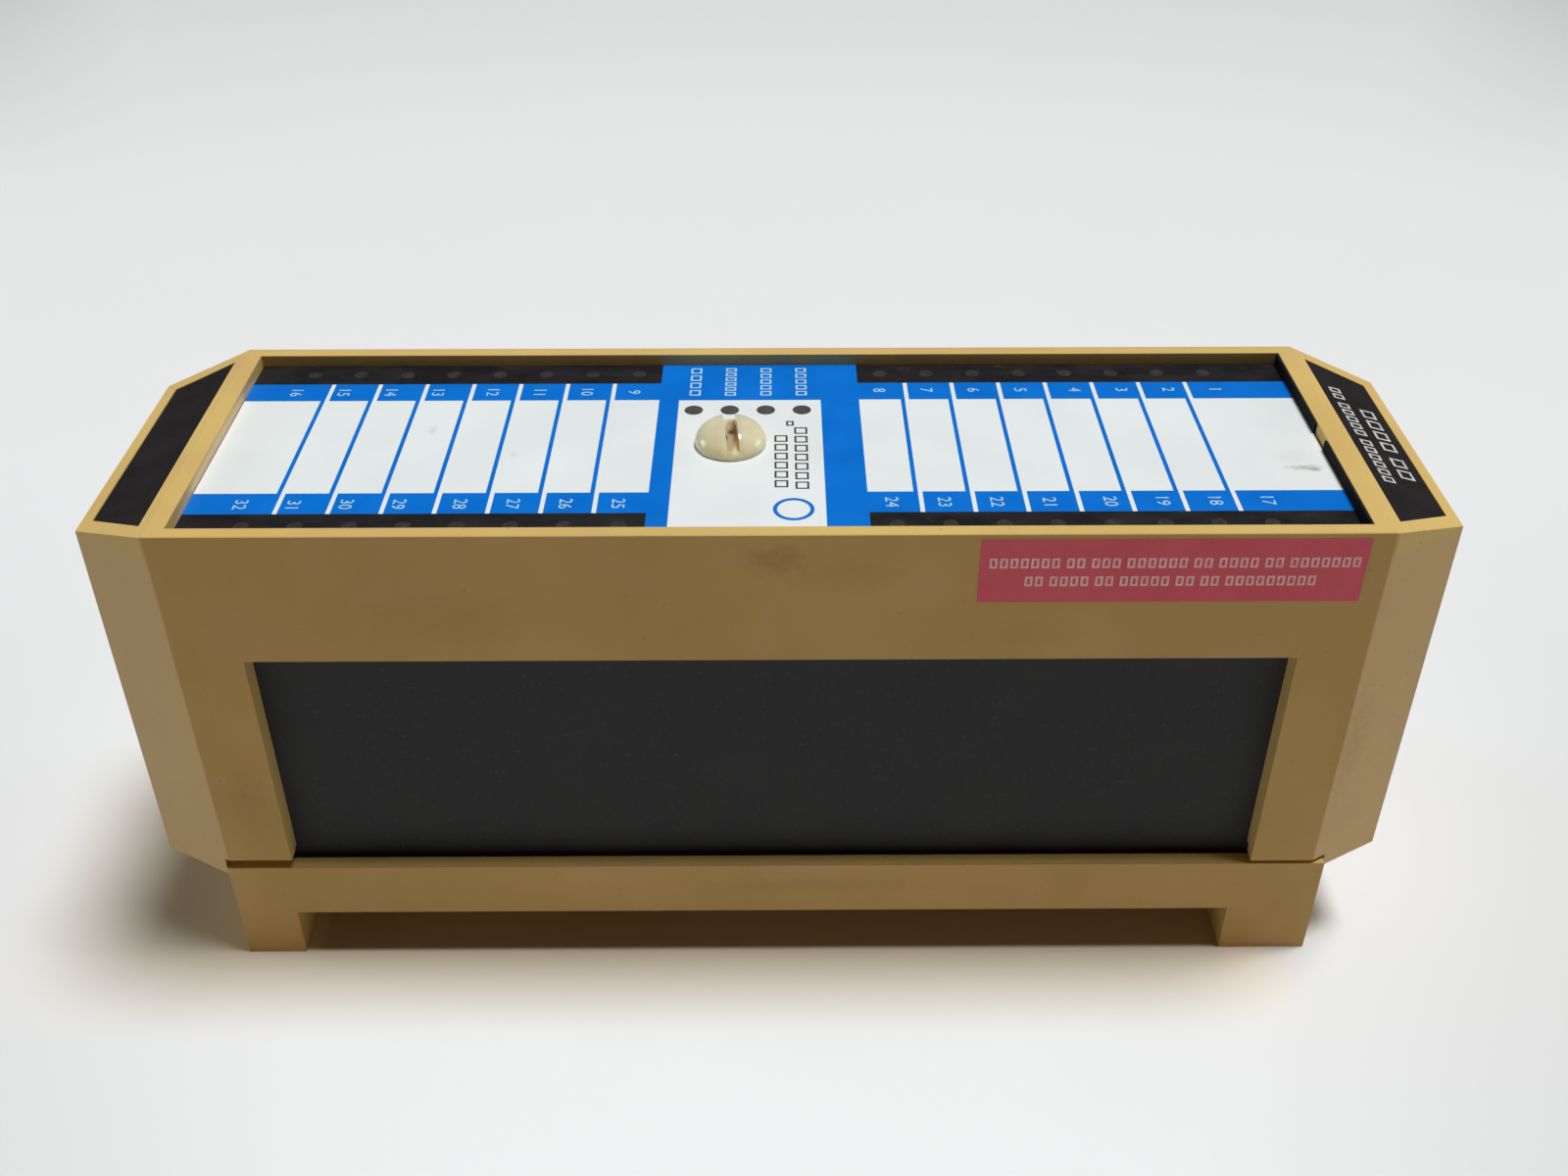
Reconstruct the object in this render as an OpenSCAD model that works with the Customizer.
// 32-channel plug-in input module. A moulded casing with a printed legend on top holds two upright
// circuit boards behind black side panels. A base frame closes it below and carries two plug
// connectors, and one captive nylon screw through the middle holds the module down.
// +X runs along the casing, +Y to its rear face, +Z up. The origin is on the plane of the feet,
// under the middle of the casing.

/* [Casing] */
// Length of the casing from end to end
casing_l = 264.2; // [263:0.1:268]
// Width of the casing from front face to rear face
casing_w = 76.2; // [76:0.1:78]
// Height of the top rim above the feet
rim_z = 110.5; // [110:0.1:113]
// Height of the casing's lower edge at its ends
casing_foot_z = 23.6; // [22.8:0.1:24.4]
// Wall thickness of the casing and the base frame
wall = 3.175; // [3:0.025:3.25]
// Length of each corner chamfer along X
corner_x = 16.3; // [15.6:0.1:16.8]
// Depth of each corner chamfer along Y
corner_y = 9; // [8:0.1:10]
// How far the sloping end shoulders drop below the rim
end_drop = 4.3; // [3.6:0.1:4.6]
// Thickness of the top deck under the legend plate
deck_t = 3.8; // [3.4:0.1:4]

/* [Top recess and printed plates] */
// Length of the recess in the top
recess_l = 225.1; // [222:0.1:227]
// Depth of the recess, rim to legend plate
recess_depth = 2.5; // [2.2:0.1:3]
// Thickness of the legend plate
legend_t = 0.6; // [0.4:0.1:1]
// Thickness of the foam seal at the legend plate's right end
seal_t = 0.5; // [0.3:0.1:1.2]
// Depth of the pockets for the end plates
plate_pocket = 0.5; // [0.3:0.1:0.8]
// Thickness of the end plates
plate_t = 0.4; // [0.2:0.1:0.6]
// Length of the label on the front face
label_l = 72.5; // [60:0.5:74]
// Height of the label on the front face
label_h = 14.1; // [10:0.1:16]

/* [Side windows] */
// Length of the window in each long face
window_l = 205; // [203:0.1:205.5]
// Height of the window's upper edge above the feet
window_top = 81.65; // [78:0.05:83]
// How far the side panels sit behind the faces
panel_setback = 4.5; // [4.1:0.1:4.7]
// Thickness of the side panels
panel_t = 1.6; // [1.4:0.1:1.7]

/* [Base frame] */
// Distance of the frame's left end from the middle
base_left = 116.7; // [116.2:0.1:117.2]
// Distance of the frame's right end from the middle
base_right = 118.6; // [118:0.1:119]
// Height of the frame's top edge
base_top = 25.9; // [25.4:0.1:26]
// Height of the underside between the feet
arch_z = 12.4; // [11.8:0.1:12.8]
// Width of the left foot along X
left_foot_w = 12.6; // [12.4:0.1:13]
// Width of the right foot along X
right_foot_w = 18.9; // [17:0.1:19.4]
// Gap between the frame and the casing's left legs
left_gap = 2.3; // [0.6:0.1:2.4]
// Gap between the frame and the casing's right legs
right_gap = 0.9; // [0.6:0.1:2.4]

/* [Retaining screw] */
// Distance of the screw to the left of the middle
screw_left = 8.2; // [7.8:0.1:8.6]
// Diameter of the screw's thread
thread_d = 7.94; // [7.5:0.01:8]
// Length of the thread
thread_l = 11; // [8:0.1:11]
// Diameter of the slotted head
head_d = 14.6; // [13:0.1:15]
// Height of the slotted head
head_h = 5.6; // [4.6:0.1:6.4]
// Width of the slot
slot_w = 2.6; // [1.6:0.1:3]
// Depth of the slot
slot_depth = 3.7; // [2:0.1:4]
// Turn of the slot away from the Y axis
slot_turn = 6; // [0:1:90]
// How far the captive screw can lift
screw_lift = 8; // [6:0.5:9]

/* [Lamps and channels] */
// Spacing of the channels along X
channel_pitch = 10.16; // [10:0.01:10.2]
// Spacing of the status lamps along X
status_pitch = 7.62; // [7.4:0.01:7.8]
// Diameter of the lamps
lamp_d = 3; // [2.6:0.1:3]
// Distance of the lamp rows from the centre line
lamp_row_y = 30.5; // [30.2:0.1:30.8]

/* [Boards] */
// Thickness of the circuit boards
board_t = 1.6; // [1.5:0.1:1.6]
// Distance of each input board's middle plane from the centre line
board_y = 27; // [26.8:0.1:27.2]

/* [Hidden] */
$fn = 48;

// Colours
tan_plastic = [0.66, 0.53, 0.33];
black_sheet = [0.14, 0.14, 0.15];
board_green = [0.10, 0.36, 0.20];
black_resin = [0.10, 0.10, 0.11];
cream_nylon = [0.82, 0.76, 0.60];
steel = [0.68, 0.69, 0.70];
gold = [0.80, 0.66, 0.30];

// Casing outline
half_l = casing_l / 2;
half_w = casing_w / 2;
crease_x = half_l - corner_x;
shoulder_y = half_w - corner_y;
corner_angle = atan(corner_y / corner_x);
end_slope = atan(end_drop / corner_x);
inner_half_l = half_l - wall;
inner_half_w = half_w - wall;
inner_crease_x = crease_x - wall * tan(corner_angle / 2);
inner_shoulder_y = shoulder_y - wall * tan((90 - corner_angle) / 2);
legend_z = rim_z - recess_depth;
deck_z = legend_z - legend_t;
roof_z = deck_z - deck_t;
ledge_t = 2.4;
legend_play = 0.15;
post_r = 3;
post_y = 29.5;
post_left = -base_left + left_foot_w / 2;
post_right = base_right - right_foot_w / 2;
web_t = 2;

// Side panels and card guides
panel_back_y = half_w - panel_setback - panel_t;
panel_mid_y = panel_back_y + panel_t / 2;
panel_half_l = window_l / 2 + 2.4;
panel_foot_z = arch_z + wall;
panel_top_z = 86;
guide_l = 5.4;
guide_back_y = 24.4;
guide_foot_z = 28.6;
guide_top_z = 93;
slot_play = 0.1;

// Boards
board_face_y = board_y - board_t / 2;
input_board_half_l = window_l / 2 + 2.2;
input_board_foot_z = 25.9;
input_board_top_z = 92;
backplane_z = 22;
backplane_top_z = backplane_z + board_t;
indicator_z = 96.6;
indicator_top_z = indicator_z + board_t;
board_hole_r = 1.6;
socket_top_z = 32;
sleeve_r = 8;
sleeve_bore_r = 6.5;
sleeve_play = 0.4;

// Retaining screw
screw_x = -screw_left;
thread_r = thread_d / 2;
thread_foot_z = 1;
shank_r = 3.3;
groove_r = 2.6;
running_gap = 0.05;
clip_t = 1.5;
clip_z = roof_z - screw_lift - clip_t;
screw_hole_r = 4.6;
base_hole_r = 5.5;

// Legend layout: the centre block's edges set where each row of eight channels starts
legend_mid_x = -2.475;
block_half_l = 2.1 * channel_pitch;
channels_per_row = 8;
status_x = -16.3;
status_y = 14.2;

// Underside connectors
connector_l = 78;
connector_w = 10.6;
connector_foot_z = 4;
connector_left_x = screw_x - 51;
connector_right_x = screw_x + 51;
cavity_l = 73;
cavity_w = 6.4;
cavity_depth = 10;
pin_pitch = 2.54;
pin_columns = 28;
pin_w = 0.64;
pin_l = 5.4;

function channel_x(side, n) = legend_mid_x + side * (block_half_l + (n + 0.5) * channel_pitch);

// ---- Shared shapes ----

module box(low, high) {
    translate(low) cube(high - low);
}

// Eight-sided plan of the casing, or of its inside
module plan(hl, hw, crease, shoulder) {
    polygon([[crease, -hw], [hl, -shoulder], [hl, shoulder], [crease, hw],
             [-crease, hw], [-hl, shoulder], [-hl, -shoulder], [-crease, -hw]]);
}

// Places a component on an input board: side -1 is the front board, +1 the rear one. The
// component's own +Z points away from the board, towards the middle of the module.
module on_input_board(side, x, z) {
    translate([x, side * board_face_y, z]) rotate([90 * side, 0, 0]) children();
}

module on_backplane(x, y) {
    translate([x, y, backplane_top_z]) children();
}

// Dual in-line chip lying on its board, pins along both long sides
module chip(pins, row_w, depth = 3.3) {
    body_l = pins / 2 * pin_pitch - 0.4;
    lift = 0.6;
    box([-body_l / 2, -row_w / 2 + 0.6, lift], [body_l / 2, row_w / 2 - 0.6, lift + depth]);
    for (side = [-1, 1], n = [0:pins / 2 - 1])
        translate([(n - (pins / 2 - 1) / 2) * pin_pitch, side * (row_w / 2 - 0.35), lift / 2 + 0.8])
            cube([0.5, 0.7, lift + 1.6], center = true);
}

// Resistor lying along Y on two bent leads
module resistor() {
    body_l = 9;
    body_r = 1.9;
    lead_r = 0.4;
    lead_y = 6;
    rise = 2.4;
    translate([0, 0, rise]) rotate([90, 0, 0]) cylinder(h = body_l, r = body_r, center = true);
    translate([0, 0, rise]) rotate([90, 0, 0]) cylinder(h = 2 * lead_y, r = lead_r, center = true);
    for (side = [-1, 1])
        translate([0, side * (lead_y - lead_r), 0]) cylinder(h = rise, r = lead_r);
}

// Film capacitor: a flat box standing on its board
module film_capacitor() {
    box([-3.6, -1.4, 0], [3.6, 1.4, 6.5]);
}

// Board held up on edge in the card guides
module input_board(side) {
    color(board_green)
        box([-input_board_half_l, side * board_y - board_t / 2, input_board_foot_z],
            [input_board_half_l, side * board_y + board_t / 2, input_board_top_z]);
}

module side_panel(side) {
    color(black_sheet)
        box([-panel_half_l, side * panel_mid_y - panel_t / 2, panel_foot_z],
            [panel_half_l, side * panel_mid_y + panel_t / 2, panel_top_z]);
}

module front_side_panel() {
    side_panel(-1);
}

module rear_side_panel() {
    side_panel(1);
}

// ---- Casing ----

module casing_block() {
    beyond_x = half_l + 1;
    beyond_z = rim_z - end_drop * (corner_x + 1) / corner_x;
    intersection() {
        translate([0, 0, casing_foot_z])
            linear_extrude(height = rim_z - casing_foot_z) plan(half_l, half_w, crease_x, shoulder_y);
        rotate([90, 0, 0])
            linear_extrude(height = casing_w + 2, center = true)
                polygon([[-beyond_x, 0], [beyond_x, 0], [beyond_x, beyond_z], [crease_x, rim_z],
                         [-crease_x, rim_z], [-beyond_x, beyond_z]]);
    }
}

module casing_cavity() {
    translate([0, 0, casing_foot_z + ledge_t])
        linear_extrude(height = roof_z - casing_foot_z - ledge_t)
            plan(inner_half_l, inner_half_w, inner_crease_x, inner_shoulder_y);
}

// Mouth for the base frame, cut higher on the side where the frame stands off
module base_mouth() {
    play = 0.3;
    box([-base_left - play, -half_w - 1, casing_foot_z - 1], [0, half_w + 1, base_top + left_gap]);
    box([-1, -half_w - 1, casing_foot_z - 1], [base_right + play, half_w + 1, base_top + right_gap]);
}

// Trapezoid on a sloping shoulder, drawn at the middle of the casing's right end
module end_plate_shape(depth, lift, grow) {
    inner_s = 2.4;
    outer_s = 14.1;
    inner_y = 33;
    outer_y = 26.2;
    translate([crease_x, 0, rim_z]) rotate([0, end_slope, 0]) translate([0, 0, lift])
        linear_extrude(height = depth)
            polygon([[inner_s - grow, -inner_y - grow], [outer_s + grow, -outer_y - grow],
                     [outer_s + grow, outer_y + grow], [inner_s - grow, inner_y + grow]]);
}

module lamp_windows() {
    window_r = lamp_d / 2 + 0.25;
    for (side = [-1, 1], row = [-1, 1], n = [0:channels_per_row - 1])
        translate([channel_x(side, n), row * lamp_row_y, roof_z - 1])
            cylinder(h = deck_t + 2, r = window_r);
    for (n = [0:3])
        translate([status_x + n * status_pitch, status_y, roof_z - 1])
            cylinder(h = deck_t + 2, r = window_r);
}

// Guide that holds the ends of one side panel and one input board
module card_guide(x_side, y_side) {
    near_x = x_side * window_l / 2;
    far_x = near_x + x_side * guide_l;
    back_y = y_side * guide_back_y;
    wall_y = y_side * (inner_half_w + 0.1);
    difference() {
        box([min(near_x, far_x), min(back_y, wall_y), guide_foot_z],
            [max(near_x, far_x), max(back_y, wall_y), guide_top_z]);
        card_slot(panel_half_l, y_side * panel_mid_y, panel_t, panel_top_z);
        card_slot(input_board_half_l, y_side * board_y, board_t, input_board_top_z);
    }
}

// Room cut from the guides for one card of this half length, middle plane, thickness and top
module card_slot(half_length, mid_y, thickness, top_z) {
    half_t = thickness / 2 + slot_play;
    box([-half_length - 0.2, mid_y - half_t, guide_foot_z - 1],
        [half_length + 0.2, mid_y + half_t, top_z + 0.2]);
}

// Post for a base screw, tied to the nearest wall by a web
module screw_post(x, y_side) {
    pilot_r = 1.45;
    pilot_depth = 13;
    difference() {
        union() {
            translate([x, y_side * post_y, arch_z + wall])
                cylinder(h = roof_z - arch_z - wall + 0.5, r = post_r);
            translate([x, y_side * (post_y + inner_half_w) / 2, (guide_foot_z + roof_z) / 2 + 0.25])
                cube([web_t, inner_half_w - post_y + 0.2, roof_z - guide_foot_z + 0.5], center = true);
        }
        translate([x, y_side * post_y, arch_z + wall - 1]) cylinder(h = pilot_depth + 1, r = pilot_r);
    }
}

// Boss under the deck for an indicator board screw
module deck_boss(x, y) {
    boss_r = 3;
    pilot_r = 1.25;
    pilot_depth = 4;
    difference() {
        translate([x, y, indicator_top_z]) cylinder(h = roof_z - indicator_top_z + 0.5, r = boss_r);
        translate([x, y, indicator_top_z - 1]) cylinder(h = pilot_depth + 1, r = pilot_r);
    }
}

indicator_boss_x = [-102, -46, 96];
indicator_boss_y = 20;

module casing() {
    color(tan_plastic) {
        difference() {
            casing_block();
            casing_cavity();
            base_mouth();
            translate([0, 0, (window_top + casing_foot_z - 1) / 2])
                cube([window_l, casing_w + 2, window_top - casing_foot_z + 1], center = true);
            translate([0, 0, deck_z + (recess_depth + legend_t + 1) / 2])
                cube([recess_l, 2 * inner_half_w, recess_depth + legend_t + 1], center = true);
            end_plate_shape(plate_pocket + 1, -plate_pocket, 0.2);
            mirror([1, 0, 0]) end_plate_shape(plate_pocket + 1, -plate_pocket, 0.2);
            lamp_windows();
            translate([screw_x, 0, roof_z - 1]) cylinder(h = deck_t + 2, r = screw_hole_r);
        }
        for (x_side = [-1, 1], y_side = [-1, 1]) card_guide(x_side, y_side);
        for (x = [post_left, post_right], y_side = [-1, 1]) screw_post(x, y_side);
        for (x = indicator_boss_x, y_side = [-1, 1]) deck_boss(x, y_side * indicator_boss_y);
    }
}

// ---- Base frame ----

backplane_boss_x = [-98, 96];
backplane_boss_y = 27;

// Hollow foot under one end, open below
module foot_box(x0, x1) {
    difference() {
        box([x0, -half_w, 0], [x1, half_w, arch_z + 0.1]);
        box([x0 + wall, -inner_half_w, -1], [x1 - wall, inner_half_w, arch_z]);
    }
}

module base_tray() {
    difference() {
        box([-base_left, -half_w, arch_z], [base_right, half_w, base_top]);
        box([-base_left + wall, -inner_half_w, arch_z + wall],
            [base_right - wall, inner_half_w, base_top + 1]);
    }
}

module base_frame() {
    mouth_half_l = connector_l / 2 + 0.5;
    mouth_half_w = connector_w / 2 + 0.5;
    boss_r = 3.5;
    pilot_r = 1.3;
    pilot_depth = 6;
    base_screw_hole_r = 1.6;
    color(tan_plastic) difference() {
        union() {
            base_tray();
            foot_box(-base_left, -base_left + left_foot_w);
            foot_box(base_right - right_foot_w, base_right);
            for (x = backplane_boss_x, y_side = [-1, 1])
                translate([x, y_side * backplane_boss_y, arch_z + wall - 0.1])
                    cylinder(h = backplane_z - arch_z - wall + 0.1, r = boss_r);
        }
        for (x = [connector_left_x, connector_right_x])
            box([x - mouth_half_l, -mouth_half_w, arch_z - 1],
                [x + mouth_half_l, mouth_half_w, arch_z + wall + 1]);
        translate([screw_x, 0, arch_z - 1]) cylinder(h = wall + 2, r = base_hole_r);
        for (x = [post_left, post_right], y_side = [-1, 1])
            translate([x, y_side * post_y, arch_z - 1]) cylinder(h = wall + 2, r = base_screw_hole_r);
        for (x = backplane_boss_x, y_side = [-1, 1])
            translate([x, y_side * backplane_boss_y, backplane_z - pilot_depth])
                cylinder(h = pilot_depth + 1, r = pilot_r);
    }
}

// ---- Printed plates ----

module legend_plate() {
    color([0.25, 0.5, 0.85]) difference() {
        box([-recess_l / 2 + 0.2, -inner_half_w + legend_play, deck_z],
            [recess_l / 2 - seal_t, inner_half_w - legend_play, legend_z]);
        translate([screw_x, 0, deck_z - 1]) cylinder(h = legend_t + 2, r = screw_hole_r);
    }
}

// Black foam strip stuck on the recess's right end wall, with a piece missing
module legend_seal() {
    seal_top_z = rim_z - 0.3;
    break_front_y = -3.3;
    break_rear_y = 3.6;
    end_y = inner_half_w - legend_play;
    color(black_sheet) for (y = [[-end_y, break_front_y], [break_rear_y, end_y]])
        box([recess_l / 2 - seal_t, y[0], deck_z], [recess_l / 2, y[1], seal_top_z]);
}

module right_end_plate() {
    color(black_sheet) end_plate_shape(plate_t, -plate_pocket, 0);
}

module left_end_plate() {
    color(black_sheet) mirror([1, 0, 0]) end_plate_shape(plate_t, -plate_pocket, 0);
}

module side_label() {
    label_right = 111.5;
    label_top = 109.4;
    label_t = 0.12;
    color([0.61, 0.24, 0.27])
        box([label_right - label_l, -half_w - label_t, label_top - label_h],
            [label_right, -half_w, label_top]);
}

// ---- Retaining screw ----

// The head is half an ellipsoid on a short straight rim
module screw_head() {
    rim_h = 0.8;
    steps = 12;
    dome = [for (n = [0:steps - 1])
        [head_d / 2 * cos(90 * n / steps), rim_h + (head_h - rim_h) * sin(90 * n / steps)]];
    rotate_extrude() polygon(concat([[0, 0], [head_d / 2, 0]], dome, [[0, head_h]]));
}

module retaining_screw() {
    color(cream_nylon) translate([screw_x, 0, 0]) difference() {
        union() {
            translate([0, 0, thread_foot_z]) cylinder(h = thread_l, r = thread_r);
            translate([0, 0, thread_foot_z]) cylinder(h = legend_z - thread_foot_z + 0.1, r = shank_r);
            translate([0, 0, legend_z]) screw_head();
        }
        translate([0, 0, clip_z - running_gap]) difference() {
            cylinder(h = clip_t + 2 * running_gap, r = shank_r + 1);
            translate([0, 0, -1]) cylinder(h = clip_t + 2, r = groove_r);
        }
        rotate([0, 0, slot_turn]) translate([0, 0, legend_z + head_h - slot_depth / 2 + 1])
            cube([slot_w, head_d + 2, slot_depth + 2], center = true);
    }
}

module screw_clip() {
    color(steel) translate([screw_x, 0, clip_z]) difference() {
        cylinder(h = clip_t, r = sleeve_bore_r - 0.3);
        translate([0, 0, -1]) cylinder(h = clip_t + 2, r = groove_r + running_gap);
    }
}

module screw_sleeve() {
    color([0.75, 0.76, 0.77]) translate([screw_x, 0, arch_z + wall]) difference() {
        cylinder(h = roof_z - arch_z - wall, r = sleeve_r);
        translate([0, 0, -1]) cylinder(h = roof_z - arch_z - wall + 2, r = sleeve_bore_r);
    }
}

// ---- Boards ----

module front_input_board() {
    input_board(-1);
}

module rear_input_board() {
    input_board(1);
}

module indicator_board() {
    left_x = -106.5;
    right_x = 105;
    edge_y = inner_half_w - 1.2;
    color(board_green) difference() {
        box([left_x, -edge_y, indicator_z], [right_x, edge_y, indicator_top_z]);
        translate([screw_x, 0, indicator_z - 1]) cylinder(h = board_t + 2, r = sleeve_r + sleeve_play);
        for (x = indicator_boss_x, y_side = [-1, 1])
            translate([x, y_side * indicator_boss_y, indicator_z - 1])
                cylinder(h = board_t + 2, r = board_hole_r);
    }
}

module backplane_board() {
    left_x = -103.5;
    right_x = 101.5;
    edge_y = panel_back_y - 0.7;
    color(board_green) difference() {
        box([left_x, -edge_y, backplane_z], [right_x, edge_y, backplane_top_z]);
        translate([screw_x, 0, backplane_z - 1]) cylinder(h = board_t + 2, r = sleeve_r + sleeve_play);
        for (x = backplane_boss_x, y_side = [-1, 1])
            translate([x, y_side * backplane_boss_y, backplane_z - 1])
                cylinder(h = board_t + 2, r = board_hole_r);
    }
}

// Socket on the backplane that takes the lower edge of an input board
module edge_socket(side) {
    socket_half_l = 76;
    socket_half_w = 4;
    color(black_resin) translate([0, side * board_y, 0]) difference() {
        box([-socket_half_l, -socket_half_w, backplane_top_z],
            [socket_half_l, socket_half_w, socket_top_z]);
        box([-socket_half_l - 1, -board_t / 2 - slot_play, input_board_foot_z - 0.1],
            [socket_half_l + 1, board_t / 2 + slot_play, socket_top_z + 1]);
    }
}

module front_edge_socket() {
    edge_socket(-1);
}

module rear_edge_socket() {
    edge_socket(1);
}

// Header from the top of an input board up to the indicator board
module indicator_header(side) {
    header_x = 28;
    header_l = 50.8;
    header_w = 2.5;
    header_foot_z = 88;
    color(black_resin)
        translate([header_x, side * (board_face_y - header_w / 2), (header_foot_z + indicator_z) / 2])
            cube([header_l, header_w, indicator_z - header_foot_z], center = true);
}

module front_indicator_header() {
    indicator_header(-1);
}

module rear_indicator_header() {
    indicator_header(1);
}

// ---- Underside connectors ----

module connector(x) {
    color([0.55, 0.56, 0.55]) translate([x, 0, 0]) difference() {
        translate([0, 0, (connector_foot_z + backplane_z) / 2])
            cube([connector_l, connector_w, backplane_z - connector_foot_z], center = true);
        translate([0, 0, connector_foot_z + cavity_depth / 2 - 0.5])
            cube([cavity_l, cavity_w, cavity_depth + 1], center = true);
    }
}

module connector_pins(x) {
    color(gold)
        for (row = [-0.5, 0.5], n = [0:pin_columns - 1])
            translate([x + (n - (pin_columns - 1) / 2) * pin_pitch, row * pin_pitch,
                       connector_foot_z + cavity_depth - pin_l / 2])
                cube([pin_w, pin_w, pin_l], center = true);
}

module left_connector() {
    connector(connector_left_x);
}

module right_connector() {
    connector(connector_right_x);
}

module left_connector_pins() {
    connector_pins(connector_left_x);
}

module right_connector_pins() {
    connector_pins(connector_right_x);
}

// ---- Parts on the input boards ----

input_column = [for (n = [0:2 * channels_per_row - 1]) (n - channels_per_row + 0.5) * channel_pitch];
chip_column = [for (n = [0:channels_per_row - 1]) (n - channels_per_row / 2 + 0.5) * 2 * channel_pitch];

module resistors(side) {
    color([0.45, 0.32, 0.22]) for (x = input_column) on_input_board(side, x, 42) resistor();
}

module optocouplers(side) {
    color([0.86, 0.86, 0.82]) for (x = chip_column) on_input_board(side, x, 57) chip(8, 7.62);
}

module capacitors(side) {
    color([0.65, 0.20, 0.16]) for (x = input_column) on_input_board(side, x, 67.5) film_capacitor();
}

module logic_chips(side) {
    color(black_resin) for (x = [-75, -45, 45, 75]) on_input_board(side, x, 79) chip(16, 7.62);
}

module front_resistors() {
    resistors(-1);
}

module rear_resistors() {
    resistors(1);
}

module front_optocouplers() {
    optocouplers(-1);
}

module rear_optocouplers() {
    optocouplers(1);
}

module front_capacitors() {
    capacitors(-1);
}

module rear_capacitors() {
    capacitors(1);
}

module front_logic_chips() {
    logic_chips(-1);
}

module rear_logic_chips() {
    logic_chips(1);
}

// ---- Lamps ----

module lamp() {
    stem_h = 6;
    cylinder(h = 1, r = lamp_d / 2 + 0.4);
    cylinder(h = stem_h, r = lamp_d / 2);
    translate([0, 0, stem_h]) sphere(r = lamp_d / 2);
}

module channel_lamps() {
    color([0.75, 0.12, 0.10])
        for (side = [-1, 1], row = [-1, 1], n = [0:channels_per_row - 1])
            translate([channel_x(side, n), row * lamp_row_y, indicator_top_z]) lamp();
}

module status_lamps() {
    color([0.75, 0.12, 0.10])
        for (n = [0:3]) translate([status_x + n * status_pitch, status_y, indicator_top_z]) lamp();
}

// One bar per row of eight, resting on the lamps' rims
module lamp_holders() {
    holder_h = 3.4;
    color(black_resin)
        for (side = [-1, 1], row = [-1, 1]) difference() {
            translate([channel_x(side, 3.5), row * lamp_row_y, indicator_top_z + 1 + holder_h / 2])
                cube([7 * channel_pitch + 5, 5, holder_h], center = true);
            for (n = [0:channels_per_row - 1])
                translate([channel_x(side, n), row * lamp_row_y, indicator_top_z])
                    cylinder(h = holder_h + 2, r = lamp_d / 2 + 0.05);
        }
}

// ---- Parts on the backplane ----

module microcontroller() {
    color(black_resin) on_backplane(42, -10) chip(40, 15.24, 3.8);
}

module program_memory() {
    color([0.45, 0.42, 0.40]) on_backplane(34, 10) chip(28, 15.24, 3.8);
}

module crystal() {
    color(steel) on_backplane(78, -10) rotate([0, 0, 90]) {
        box([-3.3, -1.8, 0.3], [3.3, 1.8, 12]);
        for (side = [-1, 1]) translate([side * 3.3, 0, 0.3]) cylinder(h = 11.7, r = 1.8);
        for (side = [-1, 1]) translate([side * 3.3, 0, 0]) cylinder(h = 1, r = 2.3);
        box([-3.3, -2.3, 0], [3.3, 2.3, 1]);
    }
}

module bus_drivers() {
    color(black_resin) for (x = [64, 80]) on_backplane(x, 10) chip(8, 7.62);
}

module voltage_regulator() {
    color(black_resin) on_backplane(-30, -11.8) {
        box([-5, -1.2, 4], [5, 3.2, 19]);
        for (n = [-1, 0, 1]) translate([n * pin_pitch, 1, 2.5]) cube([0.9, 0.7, 5], center = true);
    }
}

module heat_sink() {
    color([0.25, 0.25, 0.27]) on_backplane(-30, -13) {
        box([-12, -2, 0], [12, 0, 24]);
        for (n = [-2:2]) translate([n * 5.5, -4.4, 12]) cube([1.2, 5, 24], center = true);
    }
}

module bulk_capacitors() {
    color([0.12, 0.16, 0.34]) for (x = [-90, -76, -62]) on_backplane(x, -11) {
        cylinder(h = 19, r = 5.8);
        cylinder(h = 20, r = 4.6);
    }
}

module power_choke() {
    color([0.62, 0.34, 0.16]) on_backplane(-34, 11)
        rotate_extrude($fn = 64) translate([6, 3.6]) circle(r = 3.6, $fn = 32);
}

module fuse() {
    color([0.80, 0.82, 0.80]) on_backplane(-74, 12) translate([0, 0, 4.5])
        rotate([0, 90, 0]) cylinder(h = 20, r = 2.5, center = true);
}

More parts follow.
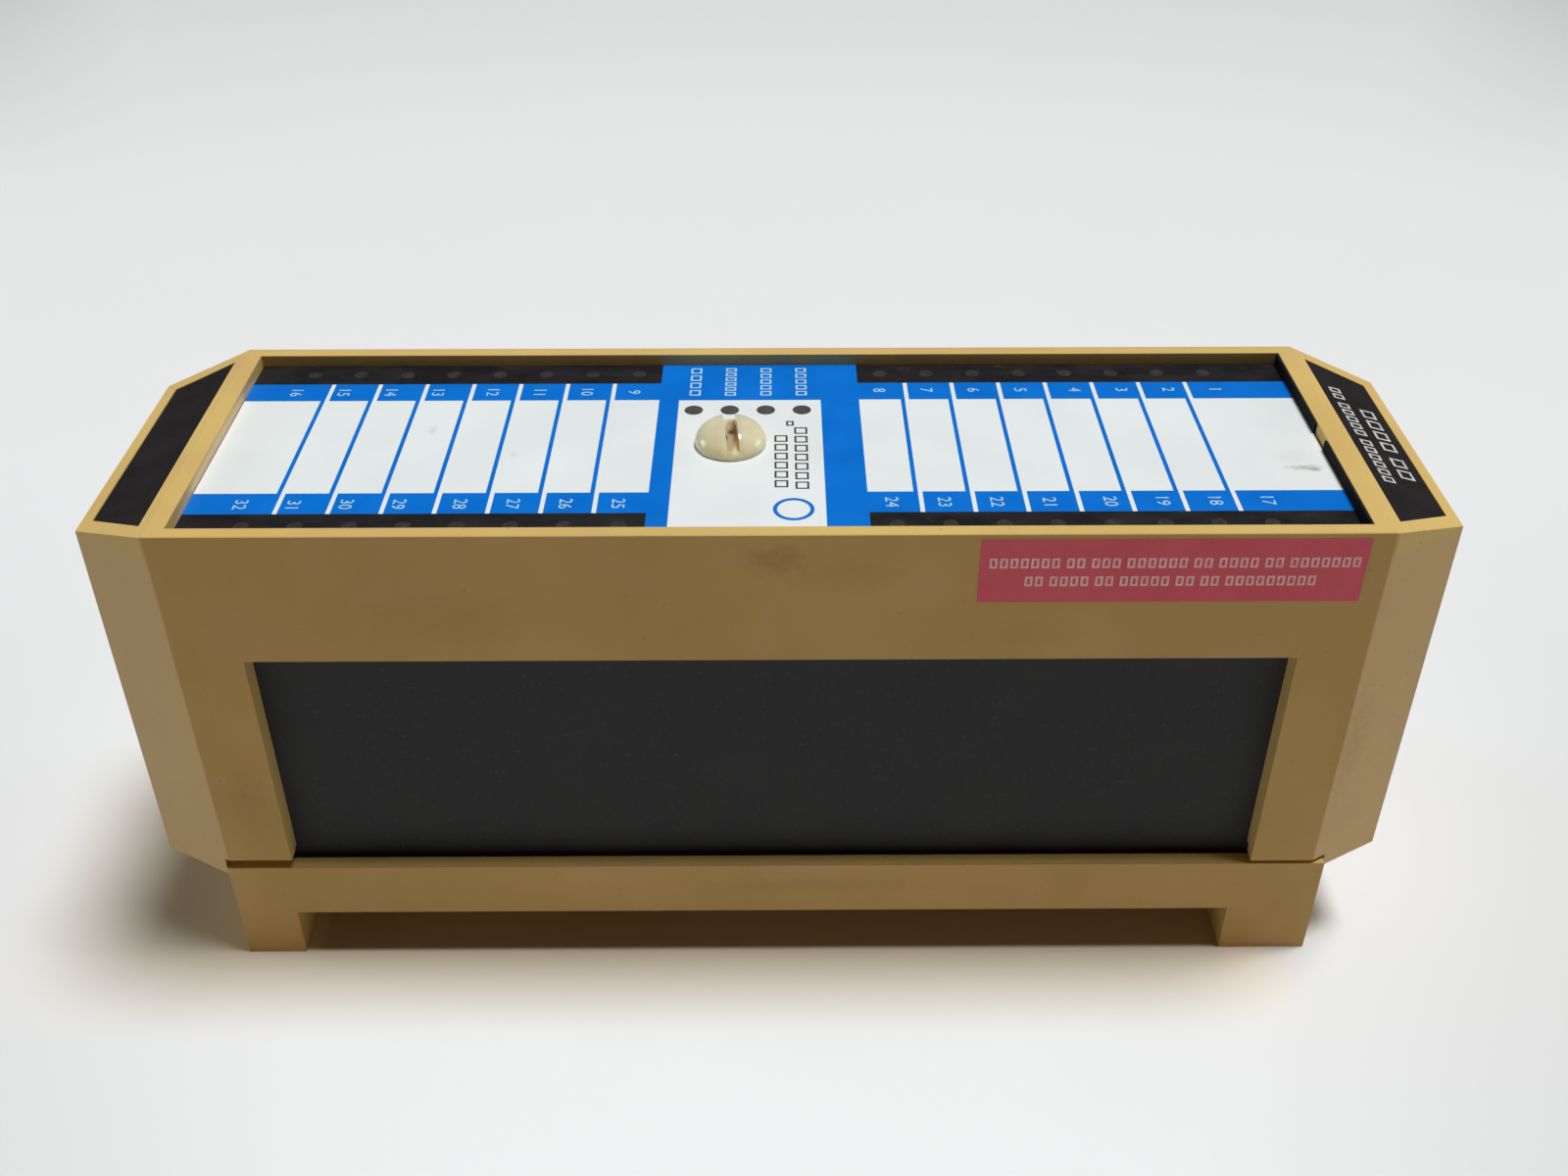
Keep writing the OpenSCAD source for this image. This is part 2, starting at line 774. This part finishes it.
// Two spring clips that hold the fuse's end caps
module fuse_clips() {
    color(steel) on_backplane(-74, 12) for (side = [-1, 1]) difference() {
        translate([side * 8, 0, 3.2]) cube([5, 6.6, 6.4], center = true);
        translate([side * 8, 0, 4.5]) rotate([0, 90, 0]) cylinder(h = 7, r = 2.55, center = true);
        translate([side * 8, 0, 7]) cube([7, 3.6, 5], center = true);
    }
}

// ---- Fasteners ----

// Pan-head screw with a crossed recess, its head standing on z = 0 and its shank going down
module pan_screw(shank_l, shank_radius, head_radius, thickness) {
    difference() {
        union() {
            cylinder(h = thickness, r = head_radius);
            translate([0, 0, -shank_l]) cylinder(h = shank_l + 0.1, r = shank_radius);
        }
        for (turn = [0, 90])
            rotate([0, 0, turn]) translate([0, 0, thickness])
                cube([head_radius * 1.2, 0.7, thickness], center = true);
    }
}

module base_screws() {
    color(steel) for (x = [post_left, post_right], y_side = [-1, 1])
        translate([x, y_side * post_y, arch_z]) rotate([180, 0, 0]) pan_screw(15, 1.4, 2.8, 1.8);
}

module backplane_screws() {
    color(steel) for (x = backplane_boss_x, y_side = [-1, 1])
        translate([x, y_side * backplane_boss_y, backplane_top_z]) pan_screw(6.5, 1.25, 2.6, 1.8);
}

module indicator_screws() {
    color(steel) for (x = indicator_boss_x, y_side = [-1, 1])
        translate([x, y_side * indicator_boss_y, indicator_z]) rotate([180, 0, 0])
            pan_screw(5, 1.2, 2.5, 1.6);
}

casing();
base_frame();
legend_plate();
legend_seal();
left_end_plate();
right_end_plate();
side_label();
front_side_panel();
rear_side_panel();
retaining_screw();
screw_clip();
screw_sleeve();
front_input_board();
rear_input_board();
indicator_board();
backplane_board();
front_edge_socket();
rear_edge_socket();
front_indicator_header();
rear_indicator_header();
left_connector();
right_connector();
left_connector_pins();
right_connector_pins();
front_resistors();
rear_resistors();
front_optocouplers();
rear_optocouplers();
front_capacitors();
rear_capacitors();
front_logic_chips();
rear_logic_chips();
channel_lamps();
status_lamps();
lamp_holders();
microcontroller();
program_memory();
crystal();
bus_drivers();
voltage_regulator();
heat_sink();
bulk_capacitors();
power_choke();
fuse();
fuse_clips();
base_screws();
backplane_screws();
indicator_screws();
